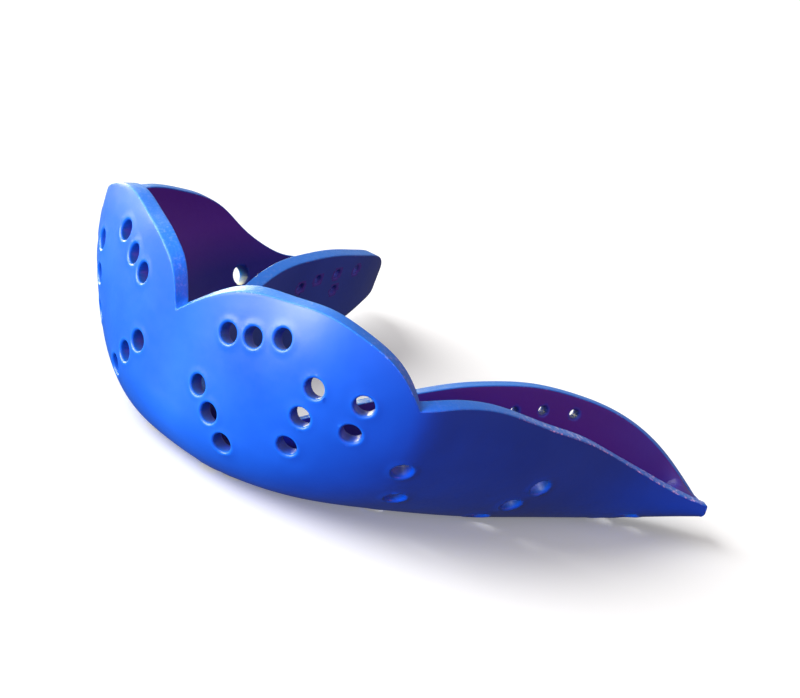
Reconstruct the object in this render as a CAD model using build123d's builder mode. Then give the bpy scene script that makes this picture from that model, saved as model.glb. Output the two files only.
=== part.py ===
"""Custom-fit mouthguard, moulded in one piece from a thin perforated thermoplastic sheet.

Millimetres. The biting floor rests on Z = 0, the flanges stand up along +Z and the wearer's front faces -Y.
Both halves follow the same line in plan. They are described by stations along that line, counted from the
front centre to the tip of an arm, the left arm on -X and the right arm on +X. The trimmed outer rim and
the tip of each arm are hand-fitted, so they differ a little from one side to the other.
"""
from build123d import *
from collections import namedtuple
from math import sqrt
import os

os.makedirs("parts", exist_ok=True)

# Driving dimensions
SHEET = 1.5  # thickness of the moulded sheet
HOLE_R = 1.05  # radius of a perforation in the outer flange and in the floor
PIN_R = 0.5  # radius of a perforation in the tongue-side flange, where the sheet is stretched the least
HOLE_REACH = 2.5  # half the length of a perforation's cutter
OUTSIDE = 25.0  # start of a level line across the tray, outside the outer flange
INSIDE = -15.0  # and on the tongue's side
FOOT_R = 5.6  # furthest reach across the floor of the rounding below the outer flange
LINGUAL_R = 2.6  # largest rounding between the floor and the tongue-side flange
LINGUAL_LEAN = 0.12  # lean of the tongue-side flange towards the tongue, per mm of height
RIM_RISE = 0.5  # rise of the trimmed outer rim across the sheet, from the outside in, per mm at the front
BLANK_TOP = 24.0  # height of the untrimmed flanges at the front
BLANK_DROP = 22.0  # how much lower they are moulded per unit of place behind BLANK_BEND
BLANK_BEND = 0.4
TRIM_TOP = 30.0  # height of the trimming solids
TRIM_OUT = 5.0  # reach of a trimming solid outside the flange
TRIM_IN = 3.5  # and inside it
SINK = 0.1  # the floor is moulded this far below Z = 0 and cut flat there

# Outer foot line of one half in plan, from the front centre to the arm's tip
ARCH = [
    (0, -24.95), (7.4, -23.85), (12, -21.35), (15.4, -17.85), (18.8, -11.15), (23.4, 1.05), (25.8, 12.85),
    (29.9, 23.75),
]

# Stations along that line. place runs from the front centre (0) to the arm's tip (1), lean is per mm, curl
# per mm2, foot is the height of the rounding below the outer flange, keel lifts the floor and lingual is
# the height of the tongue-side rim.
Station = namedtuple("Station", "place lean curl foot width keel lingual")
STATIONS = [
    Station(0.000, 0.00, 0.000, 6.0, 9.2, 0.0, 4.0),
    Station(0.050, 0.04, 0.004, 6.0, 9.2, 0.0, 4.2),
    Station(0.120, 0.11, 0.010, 6.0, 9.1, 0.0, 4.8),
    Station(0.200, 0.25, 0.018, 6.0, 9.0, 0.0, 5.6),
    Station(0.260, 0.42, 0.023, 6.0, 8.8, 0.0, 6.4),
    Station(0.310, 0.56, 0.027, 6.1, 8.5, 0.0, 7.3),
    Station(0.350, 0.65, 0.030, 6.2, 8.2, 0.0, 8.3),
    Station(0.388, 0.70, 0.032, 6.4, 7.9, 0.0, 9.3),
    Station(0.450, 0.66, 0.035, 6.8, 7.5, 0.0, 10.7),
    Station(0.540, 0.52, 0.037, 7.4, 7.4, 0.0, 12.2),
    Station(0.640, 0.38, 0.036, 7.6, 7.6, 0.0, 12.7),
]
RIGHT = STATIONS + [
    Station(0.720, 0.30, 0.033, 7.4, 7.5, 0.0, 12.6),
    Station(0.800, 0.22, 0.029, 6.4, 7.1, 0.1, 11.7),
    Station(0.880, 0.14, 0.024, 4.6, 6.1, 0.7, 10.0),
    Station(0.940, 0.10, 0.018, 3.0, 4.8, 1.5, 7.6),
    Station(1.000, 0.06, 0.010, 1.2, 3.2, 2.4, 3.9),
]
LEFT = STATIONS + [
    Station(0.720, 0.30, 0.033, 6.6, 7.5, 0.8, 12.6),
    Station(0.800, 0.22, 0.029, 4.8, 7.1, 2.2, 11.7),
    Station(0.880, 0.14, 0.024, 2.7, 6.1, 3.3, 10.0),
    Station(0.940, 0.10, 0.018, 2.2, 4.8, 3.2, 7.6),
    Station(1.000, 0.06, 0.010, 0.9, 3.2, 3.2, 4.7),
]

# The trimmed outer rim as (place, height), the left half on negative places. Its four lobes meet in the
# frontal notch and in the two cheek-side notches.
LOBES = [
    [(-1, 4.9), (-0.94, 5.9), (-0.88, 6.8), (-0.8, 7.9), (-0.75, 8.5), (-0.705, 9.8), (-0.665, 11.5),
     (-0.625, 13.7), (-0.585, 15.3), (-0.53, 16.4), (-0.475, 17), (-0.43, 16.7), (-0.388, 15.6)],
    [(-0.388, 15.6), (-0.345, 17.8), (-0.3, 19.8), (-0.265, 21.2), (-0.235, 21.6), (-0.2, 21.3), (-0.158, 20.9),
     (-0.113, 20.5), (-0.077, 19.8), (-0.048, 18.8), (-0.028, 17.2), (-0.012, 14.9)],
    [(-0.012, 14.9), (0.05, 17.9), (0.12, 20.4), (0.2, 21.4), (0.26, 21.9), (0.31, 21), (0.35, 19.2),
     (0.388, 15.8)],
    [(0.388, 15.8), (0.45, 16.2), (0.54, 15.5), (0.64, 13.2), (0.72, 11.5), (0.8, 9.3), (0.88, 7), (0.94, 5.4),
     (1, 4.3)],
]

# Perforations of one half as rows of (place, height), on the outer and on the tongue-side flange
OUTER_ROWS = [
    [(0.115, 16.0), (0.159, 16.8), (0.205, 18.0)],
    [(0.082, 9.6), (0.114, 7.5), (0.147, 5.1)],
    [(0.262, 14.9), (0.254, 11.5), (0.246, 7.9)],
    [(0.320, 14.9), (0.315, 11.6)],
    [(0.400, 8.4), (0.420, 4.2)],
    [(0.660, 6.2), (0.630, 3.6), (0.601, 1.05)],
]
LINGUAL_ROWS = [
    [(0.630, 9.4), (0.680, 10.0), (0.735, 10.2)],
    [(0.740, 8.2), (0.790, 10.0)],
]
# The same for the floor, as (place, distance inside the foot line)
FLOOR_ROWS = [
    [(0.09, 4.2), (0.14, 5.0), (0.19, 5.8)],
    [(0.33, 5.8), (0.38, 5.0), (0.43, 4.2)],
    [(0.575, 5.0)],
    [(0.88, 1.6), (0.845, 3.2), (0.81, 4.6)],
]

ARC = 0.5523  # handle length of a Bezier quarter circle, per unit of radius


def station(place):
    """Station at any place, on a straight line between its neighbours."""
    side = LEFT if place < 0 else RIGHT
    low, high = next(pair for pair in zip(side, side[1:]) if pair[1].place >= abs(place))
    share = (abs(place) - low.place) / (high.place - low.place)
    return Station(*(a + share * (b - a) for a, b in zip(low, high)))


def foot_radius(s):
    """Reach of the rounding below the outer flange across the floor."""
    return min(FOOT_R, 0.6 * s.width)


def lingual_radius(s):
    return min(LINGUAL_R, 0.35 * s.width)


def slope(s, height):
    """Outward lean of the outer flange at a height."""
    return s.lean - 2 * s.curl * max(height - s.keel - s.foot, 0)


def outer_face(s, height, depth=0.0):
    """Where the outer flange's face stands at a height, or the surface a depth inside it."""
    rise = max(height - s.keel - s.foot, 0)
    return s.lean * (height - s.keel) - s.curl * rise**2 - depth * sqrt(1 + slope(s, height) ** 2)


def lingual_face(s, height, depth=0.0):
    """The same for the tongue-side flange, whose depth counts outwards into the sheet."""
    return -s.width - LINGUAL_LEAN * (height - s.keel - lingual_radius(s)) + depth


def section_plane(place):
    """Upright plane across the tray: x points out of the mouth, y points up."""
    on_arch = foot_line @ (0.5 + place / 2)
    along = foot_line % (0.5 + place / 2)
    outward = Vector(along.Y, -along.X, 0)
    return Plane(origin=on_arch, x_dir=outward, z_dir=outward.cross(Vector(0, 0, 1)))


def tray_section(s, place, depth):
    """Closed outline of the untrimmed tray across the arch, or of its channel when depth is the sheet."""
    r, q = foot_radius(s), lingual_radius(s)
    top = BLANK_TOP - BLANK_DROP * max(s.place - BLANK_BEND, 0) + depth
    floor = s.keel + depth - (0 if depth else SINK)
    foot = s.keel + s.foot
    middle = (foot + top) / 2
    foot_e = outer_face(s, foot, depth)
    inner = s.keel + q
    down = ARC * (foot - floor)
    with BuildSketch(section_plane(place)) as section:
        with BuildLine():
            Bezier(
                (outer_face(s, top, depth), top),
                (foot_e + slope(s, foot) * (middle - foot), middle),
                (foot_e, foot),
            )
            Bezier(
                (foot_e, foot),
                (foot_e - slope(s, foot) * down, foot - down),
                (-r + (r - depth) * ARC, floor),
                (-r, floor),
            )
            Line((-r, floor), (-s.width + q, floor))
            Bezier(
                (-s.width + q, floor),
                (-s.width + q - (q - depth) * ARC, floor),
                (lingual_face(s, inner, depth), inner - ARC * (inner - floor)),
                (lingual_face(s, inner, depth), inner),
            )
            Line((lingual_face(s, inner, depth), inner), (lingual_face(s, top, depth), top))
            Line((lingual_face(s, top, depth), top), (outer_face(s, top, depth), top))
        make_face()
    return section.sketch


def both_sides(end):
    """The first stations of either side, from the left arm's tip to the right arm's."""
    return [(s, -s.place) for s in reversed(LEFT[1:end])] + [(s, s.place) for s in RIGHT[:end]]


def rim_section(place, rim):
    """What is trimmed off above the outer rim at a place."""
    s = station(place)
    e, rise = outer_face(s, rim), slope(s, rim) + RIM_RISE * (1 - s.place)
    with BuildSketch(section_plane(place)) as section:
        with BuildLine():
            Polyline(
                (e - TRIM_IN, rim + TRIM_IN * rise),
                (e + TRIM_OUT, rim - TRIM_OUT * rise),
                (e + TRIM_OUT, TRIM_TOP),
                (e - TRIM_IN - 2, TRIM_TOP),
                close=True,
            )
        make_face()
    return section.sketch


def lingual_section(s, place):
    """What is trimmed off above the tongue-side rim at a station."""
    e = lingual_face(s, s.lingual)
    with BuildSketch(section_plane(place)) as section:
        with BuildLine():
            Polyline(
                (e - TRIM_OUT, s.lingual),
                (e + TRIM_IN, s.lingual),
                (e + TRIM_IN, TRIM_TOP),
                (e - TRIM_OUT - 2, TRIM_TOP),
                close=True,
            )
        make_face()
    return section.sketch


def hit(body, place, height, start, direction):
    """First point of the body, and its normal there, on a level line across the tray."""
    plane = section_plane(place)
    origin = plane.from_local_coords(Vector(start, height, 0))
    across = plane.x_dir * direction
    ahead = [found for found in body.find_intersection_points(Axis(origin, across))
             if (found[0] - origin).dot(across) > 0]
    return min(ahead, key=lambda found: (found[0] - origin).length)


def perforate(body):
    """Drill each perforation square to the face that it stands in."""
    spots, pin_spots = [], []
    for side in (1, -1):
        for place, height in sum(OUTER_ROWS, []):
            spots.append(hit(body, side * place, height, OUTSIDE, -1))
        for place, height in sum(LINGUAL_ROWS, []):
            pin_spots.append(hit(body, side * place, height, INSIDE, 1))
        for place, inside in sum(FLOOR_ROWS, []):
            spot = Vector(-inside, station(side * place).keel, 0)
            spots.append((section_plane(side * place).from_local_coords(spot), Vector(0, 0, 1)))
    for radius, drilled in ((HOLE_R, spots), (PIN_R, pin_spots)):
        with Locations([Plane(origin=point, z_dir=normal) for point, normal in drilled]):
            Cylinder(radius, 2 * HOLE_REACH, mode=Mode.SUBTRACT)


with BuildLine() as arch:
    foot_line = Spline([(-x, y) for x, y in reversed(ARCH[1:])] + ARCH)

with BuildPart() as mouthguard:
    loft(sections=[tray_section(s, place, 0) for s, place in both_sides(len(RIGHT))])
    loft(sections=[tray_section(s, place, SHEET) for s, place in both_sides(len(RIGHT) - 1)], mode=Mode.SUBTRACT)
    with Locations((0, 0, -TRIM_TOP / 2)):
        Box(100, 100, TRIM_TOP, mode=Mode.SUBTRACT)
    for lobe in LOBES:
        with BuildPart(mode=Mode.PRIVATE) as trim:
            loft(sections=[rim_section(place, rim) for place, rim in lobe])
        add(trim.part, mode=Mode.SUBTRACT)
    with BuildPart(mode=Mode.PRIVATE) as lingual_trim:
        loft(sections=[lingual_section(s, place) for s, place in both_sides(len(RIGHT))])
    add(lingual_trim.part, mode=Mode.SUBTRACT)
    for crumb in mouthguard.solids().sort_by(SortBy.VOLUME)[:-1]:
        add(crumb, mode=Mode.SUBTRACT)

    perforate(mouthguard.part)

mouthguard.part.label = "mouthguard"
export_step(mouthguard.part, "parts/mouthguard.step")
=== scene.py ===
"""Custom-fit mouthguard in satin-gloss royal blue plastic, moulded from one thin perforated sheet."""

import math

import bpy
import numpy as np
from mathutils import Matrix, Vector


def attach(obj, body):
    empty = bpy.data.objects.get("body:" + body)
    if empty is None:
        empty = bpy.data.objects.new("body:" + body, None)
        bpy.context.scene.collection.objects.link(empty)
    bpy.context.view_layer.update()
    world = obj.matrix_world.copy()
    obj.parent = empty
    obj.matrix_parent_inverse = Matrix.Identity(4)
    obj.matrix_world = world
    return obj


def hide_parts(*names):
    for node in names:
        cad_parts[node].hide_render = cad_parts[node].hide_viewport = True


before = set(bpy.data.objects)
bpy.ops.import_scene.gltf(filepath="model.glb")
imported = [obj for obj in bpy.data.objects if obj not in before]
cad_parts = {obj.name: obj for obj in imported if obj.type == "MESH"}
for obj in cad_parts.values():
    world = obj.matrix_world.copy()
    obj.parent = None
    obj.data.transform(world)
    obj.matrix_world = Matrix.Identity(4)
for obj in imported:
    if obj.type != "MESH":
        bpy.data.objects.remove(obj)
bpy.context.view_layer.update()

# ---------------------------------------------------------------- the guard's shape, in millimetres
SHEET = 1.5  # thickness of the moulded sheet
HOLE_R = 1.05  # radius of a perforation in the outer flange and in the floor
PIN_R = 0.5  # radius of a perforation in the tongue-side flange
FOOT_R = 5.6  # furthest reach across the floor of the rounding below the outer flange
LINGUAL_R = 2.6  # largest rounding between the floor and the tongue-side flange
LINGUAL_LEAN = 0.12  # lean of the tongue-side flange, per mm of height
RIM_RISE = 0.5  # rise of the trimmed outer rim across the sheet, per mm at the front
EDGE_R = 0.13  # softened edge of the trimmed rims
LIP_R = 0.2  # softened edge of a perforation
LIP_RISE = 0.06  # how far the sheet swells around a perforation
FOOT_SHARE, TURN_SHARE, SHEET_SHARE = 0.6, 0.35, 0.3  # most of the width for FOOT_R, LINGUAL_R and SHEET
CUT_FADE = 3.0  # depth below the outer rim over which its slanting cut dies out
TIP_BULGE = 0.55  # how far an arm's rounded end stands out past its last section
SWELL_AT, SWELL_WIDE = 0.3, 0.26  # middle and width of the swelling, outwards from a perforation's edge
GLINT_START, GLINT_LENGTH = 0.48, 0.24  # places over which the painted highlight, white glints, grows along the right arm's outer rim
GLINT_LEAST, GLINT_TONGUE = 0.22, 0.12  # painted glints on the rest of the outer rim, and on the tongue-side rim
CHANNEL_END = (0.93, 0.972)  # places between which the tooth channel runs out into the solid tip
ARC = 0.5523  # handle length of a Bezier quarter circle, per unit of radius

# Outer foot line of one half in plan, from the front centre to the arm's tip
ARCH = [
    (0, -24.95), (7.4, -23.85), (12, -21.35), (15.4, -17.85), (18.8, -11.15), (23.4, 1.05), (25.8, 12.85),
    (29.9, 23.75),
]

# Stations along that line: place, lean, curl, foot height, width, keel, tongue-side rim height
STATIONS = [
    (0.000, 0.00, 0.000, 6.0, 9.2, 0.0, 4.0),
    (0.050, 0.04, 0.004, 6.0, 9.2, 0.0, 4.2),
    (0.120, 0.11, 0.010, 6.0, 9.1, 0.0, 4.8),
    (0.200, 0.25, 0.018, 6.0, 9.0, 0.0, 5.6),
    (0.260, 0.42, 0.023, 6.0, 8.8, 0.0, 6.4),
    (0.310, 0.56, 0.027, 6.1, 8.5, 0.0, 7.3),
    (0.350, 0.65, 0.030, 6.2, 8.2, 0.0, 8.3),
    (0.388, 0.70, 0.032, 6.4, 7.9, 0.0, 9.3),
    (0.450, 0.66, 0.035, 6.8, 7.5, 0.0, 10.7),
    (0.540, 0.52, 0.037, 7.4, 7.4, 0.0, 12.2),
    (0.640, 0.38, 0.036, 7.6, 7.6, 0.0, 12.7),
]
RIGHT = STATIONS + [
    (0.720, 0.30, 0.033, 7.4, 7.5, 0.0, 12.6),
    (0.800, 0.22, 0.029, 6.4, 7.1, 0.1, 11.7),
    (0.880, 0.14, 0.024, 4.6, 6.1, 0.7, 10.0),
    (0.940, 0.10, 0.018, 3.0, 4.8, 1.5, 7.6),
    (1.000, 0.06, 0.010, 1.2, 3.2, 2.4, 3.9),
]
LEFT = STATIONS + [
    (0.720, 0.30, 0.033, 6.6, 7.5, 0.8, 12.6),
    (0.800, 0.22, 0.029, 4.8, 7.1, 2.2, 11.7),
    (0.880, 0.14, 0.024, 2.7, 6.1, 3.3, 10.0),
    (0.940, 0.10, 0.018, 2.2, 4.8, 3.2, 7.6),
    (1.000, 0.06, 0.010, 0.9, 3.2, 3.2, 4.7),
]

# The trimmed outer rim as (place, height), the left half on negative places. The lobes meet in the notches.
LOBES = [
    [(-1, 4.9), (-0.94, 5.9), (-0.88, 6.8), (-0.8, 7.9), (-0.75, 8.5), (-0.705, 9.8), (-0.665, 11.5),
     (-0.625, 13.7), (-0.585, 15.3), (-0.53, 16.4), (-0.475, 17), (-0.43, 16.7), (-0.388, 15.6)],
    [(-0.388, 15.6), (-0.345, 17.8), (-0.3, 19.8), (-0.265, 21.2), (-0.235, 21.6), (-0.2, 21.3),
     (-0.158, 20.9), (-0.113, 20.5), (-0.077, 19.8), (-0.048, 18.8), (-0.028, 17.2), (-0.012, 14.9)],
    [(-0.012, 14.9), (0.05, 17.9), (0.12, 20.4), (0.2, 21.4), (0.26, 21.9), (0.31, 21), (0.35, 19.2),
     (0.388, 15.8)],
    [(0.388, 15.8), (0.45, 16.2), (0.54, 15.5), (0.64, 13.2), (0.72, 11.5), (0.8, 9.3), (0.88, 7),
     (0.94, 5.4), (1, 4.3)],
]

# Perforations of one half: (place, height) on the flanges, and on the floor (place, distance inside the
# foot line)
OUTER_HOLES = [
    (0.115, 16.0), (0.159, 16.8), (0.205, 18.0), (0.082, 9.6), (0.114, 7.5), (0.147, 5.1),
    (0.262, 14.9), (0.254, 11.5), (0.246, 7.9), (0.320, 14.9), (0.315, 11.6),
    (0.400, 8.4), (0.420, 4.2), (0.660, 6.2), (0.630, 3.6), (0.601, 1.05),
]
LINGUAL_HOLES = [(0.630, 9.4), (0.680, 10.0), (0.735, 10.2), (0.740, 8.2), (0.790, 10.0)]
FLOOR_HOLES = [
    (0.09, 4.2), (0.14, 5.0), (0.19, 5.8), (0.33, 5.8), (0.38, 5.0), (0.43, 4.2),
    (0.575, 5.0), (0.88, 1.6), (0.845, 3.2), (0.81, 4.6),
]


def spline(x, y):
    """Natural cubic spline through points, as a function of x."""
    x, y = np.asarray(x, float), np.asarray(y, float)
    h, n = np.diff(x), len(x)
    m, r = np.eye(n), np.zeros(n)
    for i in range(1, n - 1):
        m[i, i - 1 : i + 2] = h[i - 1], 2 * (h[i - 1] + h[i]), h[i]
        r[i] = 6 * ((y[i + 1] - y[i]) / h[i] - (y[i] - y[i - 1]) / h[i - 1])
    c = np.linalg.solve(m, r)

    def value(t):
        t = np.asarray(t, float)
        i = np.clip(np.searchsorted(x, t) - 1, 0, n - 2)
        a, b = x[i + 1] - t, t - x[i]
        cubic = (c[i] * a**3 + c[i + 1] * b**3) / (6 * h[i])
        return cubic + (y[i] / h[i] - c[i] * h[i] / 6) * a + (y[i + 1] / h[i] - c[i + 1] * h[i] / 6) * b

    return value


def arch_curve():
    """The foot line from one tip to the other as a function of place, -1 to 1, by length."""
    points = np.array([(-x, y) for x, y in reversed(ARCH[1:])] + ARCH, float)
    chord = np.r_[0, np.cumsum(np.linalg.norm(np.diff(points, axis=0), axis=1))]
    x, y = spline(chord, points[:, 0]), spline(chord, points[:, 1])
    t = np.linspace(0, chord[-1], 1201)
    length = np.r_[0, np.cumsum(np.hypot(np.diff(x(t)), np.diff(y(t))))]
    at = spline((2 * length / length[-1] - 1)[::12], t[::12])
    return lambda place: np.stack([x(at(place)), y(at(place))], -1)


arch = arch_curve()
left, right = np.array(LEFT), np.array(RIGHT)
places = np.r_[-left[:0:-1, 0], right[:, 0]]
lean, curl, foot_height, width, keel, lingual = (
    spline(places, np.r_[left[:0:-1, k], right[:, k]]) for k in range(1, 7)
)
lobe_rims = [spline(*zip(*lobe)) for lobe in LOBES]


def rim(place):
    """Height of the trimmed outer rim."""
    place = np.asarray(place, float)
    found = lobe_rims[0](place)
    for lobe, height in zip(LOBES[1:], lobe_rims[1:]):
        found = np.where(place > lobe[0][0], height(place), found)
    return found


def bezier(a, b, c, d, t):
    return a * (1 - t) ** 3 + 3 * b * t * (1 - t) ** 2 + 3 * c * t**2 * (1 - t) + d * t**3


def section(place, w):
    """Reach and height of the outer surface in the section across the tray. w runs from 0 at the outer rim
    over 1 and 2 at the ends of the foot, 3 and 4 at the ends of the tongue-side rounding, to 5 at its rim."""
    base, tall, wide, slope = keel(place), foot_height(place), width(place), lean(place)
    r, q = np.minimum(FOOT_R, FOOT_SHARE * wide), np.minimum(LINGUAL_R, TURN_SHARE * wide)
    top, foot = rim(place), base + tall
    z_wall = top + (foot - top) * w
    e_wall = slope * (z_wall - base) - curl(place) * (z_wall - foot) ** 2
    t = np.clip(w - 1, 0, 1)
    e_foot = bezier(slope * tall, slope * tall * (1 - ARC), -r * (1 - ARC), -r, t)
    z_foot = bezier(foot, foot - ARC * tall, base, base, t)
    t = np.clip(w - 2, 0, 1)
    e_floor = -r + (r - wide + q) * t
    t = np.clip(w - 3, 0, 1)
    e_turn = bezier(q - wide, q * (1 - ARC) - wide, -wide, -wide, t)
    z_turn = base + bezier(0, 0, q * (1 - ARC), q, t)
    z_tongue = base + q + (lingual(place) - base - q) * (w - 4)
    e_tongue = -wide - LINGUAL_LEAN * (z_tongue - base - q)
    cases = [w < 1, w < 2, w < 3, w < 4]
    return np.select(cases, [e_wall, e_foot, e_floor, e_turn], e_tongue), np.select(
        cases, [z_wall, z_foot, base + 0 * w, z_turn], z_tongue
    )


def skin(place, w):
    """Point of the outer surface."""
    here, step = arch(place), arch(place + 1e-4) - arch(place - 1e-4)
    step /= np.linalg.norm(step, axis=-1, keepdims=True)
    e, z = section(place, w)
    return np.stack([here[..., 0] + step[..., 1] * e, here[..., 1] - step[..., 0] * e, z], -1)


def normal(place, w):
    """Outward normal of the outer surface."""
    along = skin(place + 1e-4, w) - skin(place - 1e-4, w)
    down = skin(place, w + 1e-3) - skin(place, w - 1e-3)
    n = np.cross(down, along)
    return n / np.linalg.norm(n, axis=-1, keepdims=True)


def point(place, w, depth):
    """Point a depth inside the sheet. The outer rim's cut rises inwards."""
    place, w, depth = np.broadcast_arrays(*(np.asarray(v, float) for v in (place, w, depth)))
    flange = rim(place) - keel(place) - foot_height(place)
    tilt = lean(place) - 2 * curl(place) * flange
    rise = RIM_RISE * (1 - np.abs(place))
    lift = rise * depth / (1 + tilt * (tilt + rise))
    near = np.clip(1 - w * flange / CUT_FADE, 0, 1) ** 2
    w = w - lift * near / flange
    return skin(place, w) - normal(place, w) * depth[..., None]


def sheet(place):
    """Thickness of the sheet, less where the tip is too slim for two walls."""
    return np.minimum(SHEET, SHEET_SHARE * width(place))


def w_at_height(place, height, low, high):
    """w between low and high where the outer surface stands at a height."""
    falling = section(np.array(place), np.array(low))[1] > section(np.array(place), np.array(high))[1]
    for _ in range(40):
        middle = (low + high) / 2
        above = section(np.array(place), np.array(middle))[1] > height
        low, high = (middle, high) if above == falling else (low, middle)
    return (low + high) / 2


def w_at_reach(place, reach):
    """w on the foot or floor where the outer surface is that far out."""
    low, high = 1.0, 4.0
    for _ in range(40):
        middle = (low + high) / 2
        low, high = (middle, high) if section(np.array(place), np.array(middle))[0] > reach else (low, middle)
    return (low + high) / 2


def drilled(p0, w0, x, y, depth, x_axis, y_axis):
    """Points a depth inside the sheet that stand at x, y in the plane of a perforation's centre."""
    base = skin(np.array(p0), np.array(w0))
    place, w = p0 + 0 * x, w0 + 0 * x

    def flat(place, w):
        d = point(place, w, depth) - base
        return d @ x_axis, d @ y_axis

    for _ in range(7):
        u, v = flat(place, w)
        up, vp = flat(place + 1e-4, w)
        uw, vw = flat(place, w + 1e-3)
        a, b, c, d = (up - u) / 1e-4, (uw - u) / 1e-3, (vp - v) / 1e-4, (vw - v) / 1e-3
        det = a * d - b * c
        det = np.where(np.abs(det) < 1.0, np.copysign(1.0, det), det)
        place = place + np.clip((d * (x - u) - b * (y - v)) / det, -0.006, 0.006)
        w = w + np.clip((a * (y - v) - c * (x - u)) / det, -0.15, 0.15)
    return point(place, w, depth)


def hole_centres():
    found = []
    for side in (-1, 1):
        found += [(side * p, w_at_height(side * p, z, 0.0, 2.0), HOLE_R) for p, z in OUTER_HOLES]
        found += [(side * p, w_at_height(side * p, z, 3.0, 5.0), PIN_R) for p, z in LINGUAL_HOLES]
        found += [(side * p, w_at_reach(side * p, -inside), HOLE_R) for p, inside in FLOOR_HOLES]
    return found


# ---------------------------------------------------------------- the mesh: a tube of sections along the arch
def run(a, b, n):
    return np.linspace(a, b, n + 1)[:-1]


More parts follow.
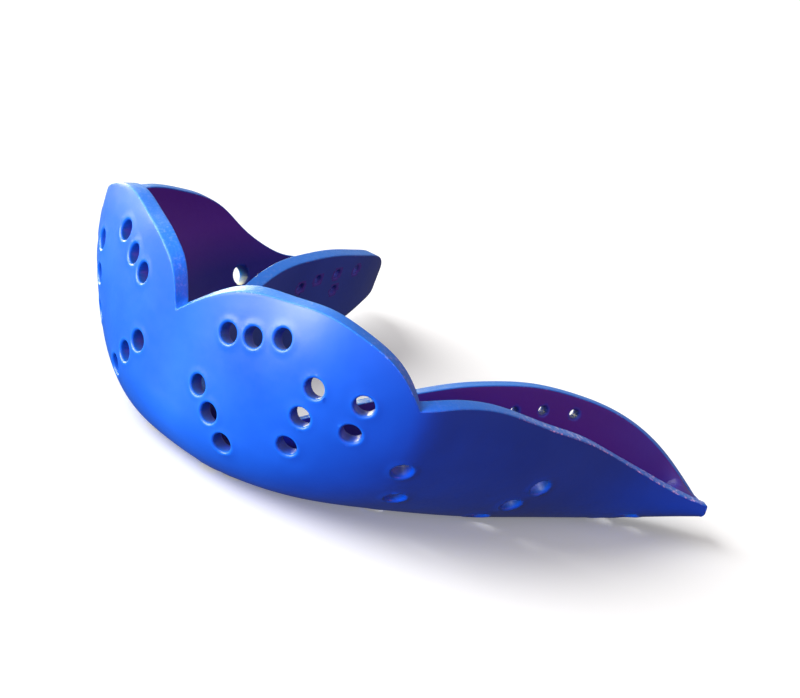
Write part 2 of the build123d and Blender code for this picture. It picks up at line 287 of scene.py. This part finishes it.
def build_mesh():
    left_notch, front_notch, right_notch = (lobe[0][0] for lobe in LOBES[1:])
    cols = np.r_[run(-1, left_notch, 140), run(left_notch, front_notch, 88)]
    cols = np.r_[cols, run(front_notch, right_notch, 92), np.linspace(right_notch, 1, 141)]
    rows = np.r_[run(0, 1, 48), run(1, 2, 28), run(2, 3, 5), run(3, 4, 13), np.linspace(4, 5, 27)]
    grid_p, grid_w = np.meshgrid(cols, rows, indexing="ij")
    # the first and last rows stand clear of the rims' soft edges
    flange = rim(cols) - keel(cols) - foot_height(cols)
    tongue = lingual(cols) - keel(cols) - np.minimum(LINGUAL_R, TURN_SHARE * width(cols))
    edge = np.minimum(EDGE_R, 0.25 * sheet(cols))
    start, end = np.minimum(edge / flange, 0.4), np.minimum(edge / tongue, 0.4)
    wall, rear = grid_w < 1, grid_w > 4
    grid_w = np.where(wall, start[:, None] + (1 - start[:, None]) * grid_w, grid_w)
    grid_w = np.where(rear, 4 + (1 - end[:, None]) * (grid_w - 4), grid_w)

    thick = sheet(cols)[:, None]
    outer = point(grid_p, grid_w, 0 * grid_p)
    inner = point(grid_p, grid_w, thick + 0 * grid_p)
    # towards a tip the channel runs out and the inner surface becomes a flat land between the rims
    t = np.clip((np.abs(cols) - CHANNEL_END[0]) / (CHANNEL_END[1] - CHANNEL_END[0]), 0, 1)
    t = (t * t * (3 - 2 * t))[:, None, None]
    across = np.linspace(0, 1, len(rows))[None, :, None]
    land = inner[:, :1] * (1 - across) + inner[:, -1:] * across
    inner = inner * (1 - t) + land * t

    # rounded rims, from the outer face over the cut to the inner face
    turn = np.linspace(0, math.pi / 2, 5)[1:]
    cut = np.linspace(0, 1, 6)[1:-1]

    def rim_rows(w_edge, w_rim):
        found = []
        for a in turn:
            w = w_edge + (w_rim - w_edge) * math.sin(a)
            found.append(point(cols, w, edge * (1 - math.cos(a))))
        for c in cut:
            found.append(point(cols, w_rim, edge + (sheet(cols) - 2 * edge) * c))
        for a in turn[::-1]:
            w = w_edge + (w_rim - w_edge) * math.sin(a)
            found.append(point(cols, w, sheet(cols) - edge * (1 - math.cos(a))))
        return np.stack(found, 1)

    front_rows = rim_rows(start, 0 * start)
    tongue_rows = rim_rows(5 - end, 5 + 0 * end)

    n, m, k = len(cols), len(rows), front_rows.shape[1]
    ring = np.concatenate([outer, tongue_rows, inner[:, ::-1], front_rows[:, ::-1]], 1)
    size = ring.shape[1]
    verts = [ring.reshape(-1, 3)]
    index = np.arange(n * size).reshape(n, size)
    rim_mask = np.zeros((n, size))
    rim_mask[:, m : m + k] = 1
    rim_mask[:, 2 * m + k :] = 1
    # the channel's side of the sheet, which gets painted shade
    inner_mask = np.zeros((n, size))
    inner_mask[:, m + k : 2 * m + k] = 1
    # painted highlight: white glints along the outer rim, strong towards the right arm's tip and faint
    # elsewhere
    glint_along = np.clip((cols - GLINT_START) / GLINT_LENGTH, 0, 1)
    glint_along = GLINT_LEAST + (1 - GLINT_LEAST) * glint_along * glint_along * (3 - 2 * glint_along)
    glint_mask = rim_mask * glint_along[:, None]
    glint_mask[:, m : m + k] = GLINT_TONGUE
    masks = [np.stack([rim_mask, inner_mask, 0 * rim_mask, glint_mask], -1).reshape(-1, 4)]

    # quads of the tube
    a, b = index[:-1], index[1:]
    faces = np.stack([a, np.roll(a, -1, 1), np.roll(b, -1, 1), b], -1)
    keep = np.ones(faces.shape[:2], bool)

    # perforations: clear the cells round each centre, then ring by ring to the drilled edge and through
    centres = hole_centres()
    middle = np.array([point(p, w, 0.0) for p, w, r in centres])
    cell = (outer[:-1, :-1] + outer[1:, :-1] + outer[:-1, 1:] + outer[1:, 1:]) / 4
    apart = np.stack([np.linalg.norm(cell - c, axis=-1) for c in middle])
    nearest = apart.argmin(0)
    extra_faces = []
    count = n * size
    for h, (p0, w0, r0) in enumerate(centres):
        mine = (nearest == h) & (apart[h] < r0 + LIP_R + 0.2)
        ii, jj = np.nonzero(mine)
        keep[ii, jj] = False
        keep[ii, size - k - 2 - jj] = False
        edges = {}
        for i, j in zip(ii, jj):
            corners = [(i, j), (i, j + 1), (i + 1, j + 1), (i + 1, j)]
            for s in range(4):
                u, v = corners[s], corners[(s + 1) % 4]
                if (v, u) in edges:
                    del edges[(v, u)]
                else:
                    edges[(u, v)] = True
        after = dict(edges.keys())
        loop = [next(iter(after))]
        while after[loop[-1]] != loop[0]:
            loop.append(after[loop[-1]])
        if len(loop) != len(after):
            raise ValueError("a perforation's surroundings are not one ring")
        loop = np.array(loop)
        around = outer[loop[:, 0], loop[:, 1]]
        n0 = normal(np.array(p0), np.array(w0))
        x0 = np.cross([0.0, 0.0, 1.0], n0) if abs(n0[2]) < 0.9 else np.cross([0.0, 1.0, 0.0], n0)
        x0 /= np.linalg.norm(x0)
        y0 = np.cross(n0, x0)
        offset = around - middle[h]
        angle = np.unwrap(np.arctan2(offset @ y0, offset @ x0))
        even = np.linspace(0, math.copysign(2 * math.pi, angle[-1] - angle[0]), len(loop), endpoint=False)
        even += (angle - even).mean()
        thick0 = float(sheet(p0))
        profile = [(r0 + LIP_R * 1.25, 0.0)]
        for f in np.linspace(0, math.pi / 2, 5):
            profile.append((r0 + LIP_R * (1 - math.sin(f)), LIP_R * (1 - math.cos(f))))
        profile += [(r0, thick0 * c) for c in (0.35, 0.5, 0.65)]
        for f in np.linspace(math.pi / 2, 0, 5):
            profile.append((r0 + LIP_R * (1 - math.sin(f)), thick0 - LIP_R * (1 - math.cos(f))))
        radius, depth = (np.array(v)[:, None] for v in zip(*profile))
        blend = np.minimum(1.0, 0.4 + 0.3 * np.arange(len(profile)))[:, None]
        turned = angle + (even - angle) * blend
        spots = drilled(p0, w0, radius * np.cos(turned), radius * np.sin(turned), depth + 0 * turned, x0, y0)
        verts.append(spots.reshape(-1, 3))
        # 1 is the channel's side of the sheet, and 2 the dull wall of a small perforation; both get painted
        # shade
        inside = np.minimum(1, depth / thick0 * 1.2) + 0 * turned if r0 == HOLE_R else 0 * turned + 2
        masks.append(np.stack([0 * turned, inside, 0 * turned + 1, 0 * turned], -1).reshape(-1, 4))
        ring_ids = [index[loop[:, 0], loop[:, 1]]]
        ring_ids += list(count + np.arange(turned.size).reshape(turned.shape))
        count += turned.size
        ring_ids.append(index[loop[:, 0], 2 * m + k - 1 - loop[:, 1]])
        for u, v in zip(ring_ids[:-1], ring_ids[1:]):
            extra_faces.append(np.stack([u, np.roll(u, -1), np.roll(v, -1), v], -1))

    # rounded tips, with painted highlight: white glints strong on the right one and faint on the left one
    for column, way in ((0, -1), (n - 1, 1)):
        last = ring[column]
        centre = last.mean(0)
        out = ring[column].mean(0) - ring[column - way].mean(0)
        out /= np.linalg.norm(out)
        before = index[column]
        for f in np.linspace(0, math.pi / 2, 8)[1:-1]:
            verts.append(centre + (last - centre) * math.cos(f) + out * TIP_BULGE * math.sin(f))
            masks.append(np.tile([1.0, 0.0, 0.0, 0.6 + 0.4 * way], (size, 1)))
            now = count + np.arange(size)
            count += size
            quad = np.stack([before, np.roll(before, -1), np.roll(now, -1), now], -1)
            extra_faces.append(quad if way > 0 else quad[:, ::-1])
            before = now
        verts.append((centre + out * TIP_BULGE)[None])
        masks.append(np.array([[1.0, 0.0, 0.0, 0.6 + 0.4 * way]]))
        fan = np.stack([before, np.roll(before, -1), np.full(size, count), np.full(size, count)], -1)
        extra_faces.append(fan if way > 0 else fan[:, ::-1])
        count += 1

    verts, masks = np.concatenate(verts), np.concatenate(masks)
    # the sheet swells a little round each perforation, on its outer face
    shift = np.zeros(len(verts))
    for c, (p0, w0, r0) in zip(middle, centres):
        d = np.linalg.norm(verts - c, axis=1)
        bump = np.exp(-(((d - r0 - SWELL_AT) / SWELL_WIDE) ** 2)) * (d > r0 - 0.02) * (r0 > PIN_R)
        shift = np.maximum(shift, bump)
        # hole_edge marks the big perforations' lips, which get a painted highlight
        masks[:, 2] = np.maximum(masks[:, 2], np.exp(-(((d - r0 - 0.1) / 0.3) ** 2)) * (r0 > PIN_R))
    quads = np.concatenate([faces[keep]] + extra_faces)
    return verts, quads, masks, shift


verts, quads, masks, shift = build_mesh()
mesh = bpy.data.meshes.new("guard_shell")
polygons = [tuple(dict.fromkeys(q)) for q in quads.tolist()]
mesh.from_pydata((verts / 1000).tolist(), [], polygons)
mesh.validate()
mesh.update()
coords = np.zeros(len(mesh.vertices) * 3)
mesh.vertices.foreach_get("co", coords)
normals = np.zeros(len(mesh.vertices) * 3)
mesh.vertices.foreach_get("normal", normals)
volume = sum(p.center.dot(p.normal) * p.area for p in mesh.polygons) / 3
if volume < 0:
    mesh.flip_normals()
    normals = -normals
outside = masks[:, 1] < 0.3
swell = (shift * outside * LIP_RISE / 1000)[:, None]
coords = coords.reshape(-1, 3) + normals.reshape(-1, 3) * swell
coords[:, 2] = np.maximum(coords[:, 2], 0)  # the underside is cut flat
mesh.vertices.foreach_set("co", coords.ravel())
for name, k in (("cut_rim", 0), ("channel_side", 1), ("hole_edge", 2), ("painted_glint", 3)):
    layer = mesh.attributes.new(name, "FLOAT", "POINT")
    layer.data.foreach_set("value", masks[:, k].astype(np.float32))
mesh.shade_smooth()
guard = bpy.data.objects.new("guard_shell", mesh)
bpy.context.scene.collection.objects.link(guard)


# ---------------------------------------------------------------- material
DEEP, FULL = (0.007, 0.074, 0.38, 1), (0.009, 0.092, 0.45, 1)  # the plastic's mottling, between two blues
CUT_AND_HIGHLIGHT_BLUE = (0.004, 0.150, 0.62, 1)  # lighter blue of the cut faces, partly the cut plastic and partly painted highlight from light from above; also the painted highlight on perforation lips
SHADE_BLUE = (0.034, 0.004, 0.25, 1)  # painted shade: the side moulded on the teeth, darkened to stand in for its own shade
GLINT_WHITE = (0.62, 0.76, 0.98, 1)  # painted highlight: white glinting specks along the trimmed edges


def plastic():
    mat = bpy.data.materials.new("guard_plastic")
    mat.use_nodes = True
    nodes, links = mat.node_tree.nodes, mat.node_tree.links
    shader = nodes["Principled BSDF"]
    shader.inputs["IOR"].default_value = 1.49
    shader.inputs["Coat Weight"].default_value = 0.2
    shader.inputs["Coat Roughness"].default_value = 0.24
    position = nodes.new("ShaderNodeTexCoord").outputs["Object"]

    def attribute(name):
        node = nodes.new("ShaderNodeAttribute")
        node.attribute_name = name
        return node.outputs["Fac"]

    def noise(per_metre, detail, rough=0.5):
        node = nodes.new("ShaderNodeTexNoise")
        node.inputs["Scale"].default_value = per_metre
        node.inputs["Detail"].default_value = detail
        node.inputs["Roughness"].default_value = rough
        links.new(position, node.inputs["Vector"])
        return node.outputs["Fac"]

    def ramp(value, low, high, low_to=0.0, high_to=1.0):
        node = nodes.new("ShaderNodeMapRange")
        links.new(value, node.inputs["Value"])
        for name, number in (("From Min", low), ("From Max", high), ("To Min", low_to), ("To Max", high_to)):
            node.inputs[name].default_value = number
        return node.outputs["Result"]

    def math_node(kind, a, b):
        node = nodes.new("ShaderNodeMath")
        node.operation = kind
        for socket, value in zip(node.inputs, (a, b)):
            if isinstance(value, float):
                socket.default_value = value
            else:
                links.new(value, socket)
        return node.outputs[0]

    def mix(share, a, b):
        node = nodes.new("ShaderNodeMix")
        node.data_type = "RGBA"
        links.new(share, node.inputs["Factor"])
        for socket, value in ((node.inputs[6], a), (node.inputs[7], b)):
            if isinstance(value, tuple):
                socket.default_value = value
            else:
                links.new(value, socket)
        return node.outputs[2]

    cut, channel = attribute("cut_rim"), attribute("channel_side")
    lip, painted_glint = attribute("hole_edge"), attribute("painted_glint")
    clouds, grain, specks = noise(95, 3), noise(2600, 2), noise(2300, 4, 0.7)
    # painted highlight: white glints on the band where the cut meets the skin and on the cut faces, broken
    # into specks
    edge = math_node("MULTIPLY", cut, math_node("SUBTRACT", 1.0, cut))
    edge = ramp(edge, 0.02, 0.2)
    cut_face = ramp(cut, 0.75, 1.0)
    glint_specks = math_node("MAXIMUM", edge, math_node("MULTIPLY", cut_face, ramp(painted_glint, 0.15, 0.9, 0.12, 1.0)))
    glint_specks = math_node("MULTIPLY", glint_specks, ramp(specks, 0.52, 0.72))
    patches = ramp(noise(160, 2), 0.42, 0.62, 0.1, 0.9)
    glint_specks = math_node("MULTIPLY", glint_specks, math_node("MAXIMUM", patches, painted_glint))

    colour = mix(ramp(clouds, 0.35, 0.65), DEEP, FULL)
    # painted shade on the channel's side and on the small perforations' walls
    colour = mix(ramp(channel, 0.2, 0.9, 0.0, 0.8), colour, SHADE_BLUE)
    # painted highlight: the big perforations' lips made lighter
    colour = mix(ramp(lip, 0.35, 1.0, 0.0, 0.3), colour, CUT_AND_HIGHLIGHT_BLUE)
    # the cut faces and the band at their edge made lighter, partly the cut plastic and partly painted
    # highlight
    colour = mix(math_node("MAXIMUM", ramp(cut, 0.1, 0.7), ramp(edge, 0, 1, 0, 0.6)), colour, CUT_AND_HIGHLIGHT_BLUE)
    # painted highlight: the white glints laid over the colour
    colour = mix(glint_specks, colour, GLINT_WHITE)
    links.new(colour, shader.inputs["Base Color"])

    rough = ramp(clouds, 0.3, 0.7, 0.34, 0.44)
    rough = math_node("ADD", rough, ramp(cut, 0.2, 0.8, 0.0, 0.12))
    rough = math_node("ADD", rough, ramp(grain, 0.3, 0.7, -0.03, 0.03))
    rough = math_node("ADD", rough, ramp(channel, 0.3, 0.9, 0.0, 0.22))
    rough = math_node("ADD", rough, ramp(channel, 1.2, 1.8, 0.0, 0.30))
    links.new(rough, shader.inputs["Roughness"])

    height = math_node("MULTIPLY", noise(210, 2), 0.00009)
    height = math_node("ADD", height, math_node("MULTIPLY", grain, 0.0000035))
    height = math_node("ADD", height, math_node("MULTIPLY", math_node("MULTIPLY", specks, cut), 0.00006))
    bump = nodes.new("ShaderNodeBump")
    bump.inputs["Distance"].default_value = 1.0
    bump.inputs["Strength"].default_value = 1.0
    links.new(height, bump.inputs["Height"])
    links.new(bump.outputs["Normal"], shader.inputs["Normal"])
    return mat


guard.data.materials.append(plastic())
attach(guard, "root")
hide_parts("mouthguard")

# ---------------------------------------------------------------- floor, lights and camera
FLOOR_GAP = 0.00003  # metres between the floor and the guard's underside
floor_mesh = bpy.data.meshes.new("floor")
floor_mesh.from_pydata([(-3, -3, 0), (3, -3, 0), (3, 3, 0), (-3, 3, 0)], [], [(0, 1, 2, 3)])
floor = bpy.data.objects.new("floor", floor_mesh)
floor.location.z = -FLOOR_GAP
# the floor sends no light to the guard and doesn't show in it: the softboxes below stand in for that
floor.visible_diffuse = False
floor.visible_glossy = False
bpy.context.scene.collection.objects.link(floor)
paper = bpy.data.materials.new("floor_white")
paper.use_nodes = True
paper_look = (
    ("Base Color", (0.88, 0.88, 0.88, 1)), ("Roughness", 0.9), ("Specular IOR Level", 0.0),
    ("Emission Color", (1, 1, 1, 1)), ("Emission Strength", 0.2),
)
for name, value in paper_look:
    paper.node_tree.nodes["Principled BSDF"].inputs[name].default_value = value
floor_mesh.materials.append(paper)

# a pale studio, darker below the table
world = bpy.data.worlds.new("studio")
bpy.context.scene.world = world
world.use_nodes = True
tree = world.node_tree
direction = tree.nodes.new("ShaderNodeTexCoord")
parts = tree.nodes.new("ShaderNodeSeparateXYZ")
tree.links.new(direction.outputs["Generated"], parts.inputs[0])
shade = tree.nodes.new("ShaderNodeMapRange")
for name, number in (("From Min", -0.15), ("From Max", 0.1), ("To Min", 0.08), ("To Max", 0.41)):
    shade.inputs[name].default_value = number
tree.links.new(parts.outputs["Z"], shade.inputs["Value"])
tree.links.new(shade.outputs["Result"], tree.nodes["Background"].inputs["Strength"])
tree.nodes["Background"].inputs["Color"].default_value = (1, 0.94, 0.92, 1)


def aim(lamp, place, target):
    lamp.location = place
    lamp.rotation_euler = (Vector(target) - Vector(place)).to_track_quat("-Z", "Y").to_euler()
    bpy.context.scene.collection.objects.link(lamp)


def softbox(name, place, size, power, colour, shows=True):
    """A softbox for the guard alone, aimed at it, that may show as a highlight."""
    light = bpy.data.lights.new(name, "AREA")
    light.shape = "RECTANGLE"
    light.size, light.size_y = size
    light.energy = power
    light.color = colour
    lamp = bpy.data.objects.new(name, light)
    aim(lamp, place, (0, 0, 0.01))
    lamp.visible_glossy = shows
    lit = bpy.data.collections.new(name + "_lit")
    lit.objects.link(guard)
    lamp.light_linking.receiver_collection = lit


key = bpy.data.lights.new("key", "SUN")
key.energy = 3.8
key.angle = 0.95
aim(bpy.data.objects.new("key", key), (-0.50, -0.70, 0.64), (0, 0, 0))
# two yellowish boxes for the sheen, an azure one for the lit front and a red one, from the right, that turns
# the shaded sides violet
softbox("front_sheen", (-0.50, -0.75, 0.12), (0.7, 0.25), 9.0, (1.0, 0.95, 0.2))
softbox("left_sheen", (-0.95, 0.10, 0.12), (0.8, 0.35), 14.0, (1.0, 0.9, 0.35))
softbox("front_azure", (0.0, -0.86, 0.05), (0.4, 0.1), 14.5, (0.0, 0.42, 1.0), shows=False)
softbox("side_fill", (0.75, 0.15, 0.25), (0.5, 0.4), 8.0, (1.0, 0.0, 0.1), shows=False)

CAMERA_AT = (0.235746, -0.22556, 0.130776)  # metres
YAW, PITCH, ROLL = 0.796, 0.353, 0.2548  # radians
LENS = 152.82  # focal length in millimetres
forward = Vector((-math.sin(YAW) * math.cos(PITCH), math.cos(YAW) * math.cos(PITCH), -math.sin(PITCH)))
level = Vector((math.cos(YAW), math.sin(YAW), 0))
above = level.cross(forward)
right = level * math.cos(ROLL) + above * math.sin(ROLL)
up = above * math.cos(ROLL) - level * math.sin(ROLL)
lens = bpy.data.cameras.new("camera")
lens.sensor_width = 36
lens.lens = LENS
lens.clip_start = 0.01
camera = bpy.data.objects.new("camera", lens)
turn = Matrix((right, up, -forward)).transposed().to_4x4()
camera.matrix_world = Matrix.Translation(CAMERA_AT) @ turn
bpy.context.scene.collection.objects.link(camera)
bpy.context.scene.camera = camera
bpy.context.scene.view_settings.view_transform = "Standard"
